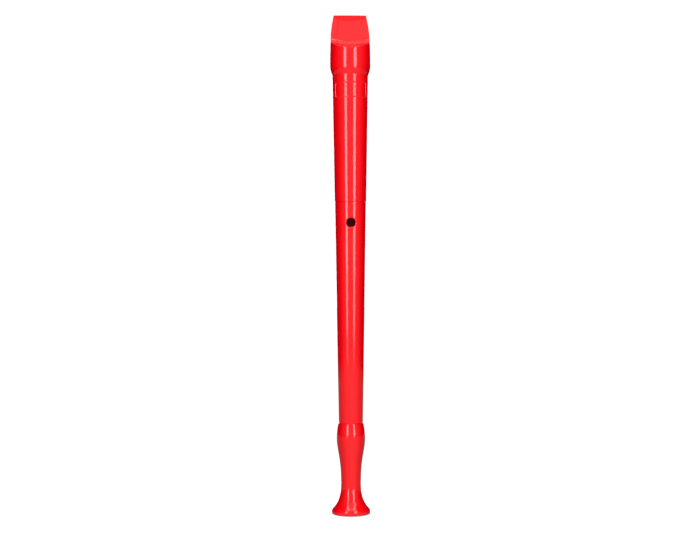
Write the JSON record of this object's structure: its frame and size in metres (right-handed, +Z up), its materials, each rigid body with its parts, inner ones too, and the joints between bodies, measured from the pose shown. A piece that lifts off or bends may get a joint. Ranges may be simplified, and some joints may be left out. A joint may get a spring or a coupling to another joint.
{
  "type": "soprano recorder",
  "caption": "Soprano recorder in glossy plastic: beaked head with a pressed-in windway block, tapered middle joint with finger and thumb holes, and a flared foot joint that turns.",
  "frame": {"origin": "centre of the bell's flat end, on the bore's axis", "axes": "+Z up the bore from the bell to the beak; +Y the front, with the window and the finger holes; -Y the back, with the thumb hole and the face under the beak; +X to the right when the back is seen"},
  "size_m": [0.0264, 0.0264, 0.325],
  "materials": {
    "body_plastic": "glossy moulded red plastic",
    "block_plastic": "smooth moulded red plastic, a little less glossy than the body"
  },
  "bodies": {
    "middle": {"middle_joint": "body_plastic"},
    "head": {"head_shell": "body_plastic", "windway_block": "block_plastic"},
    "foot": {"foot_joint": "body_plastic"}
  },
  "joints": [
    {"name": "head_slide", "type": "slide", "parent": "middle", "child": "head", "axis": [0, 0, 1], "range_m": [0, 0.03]},
    {"name": "foot_turn", "type": "hinge", "parent": "middle", "child": "foot", "pos_m": [0, 0, 0.052], "axis": [0, 0, 1], "continuous": true}
  ]
}
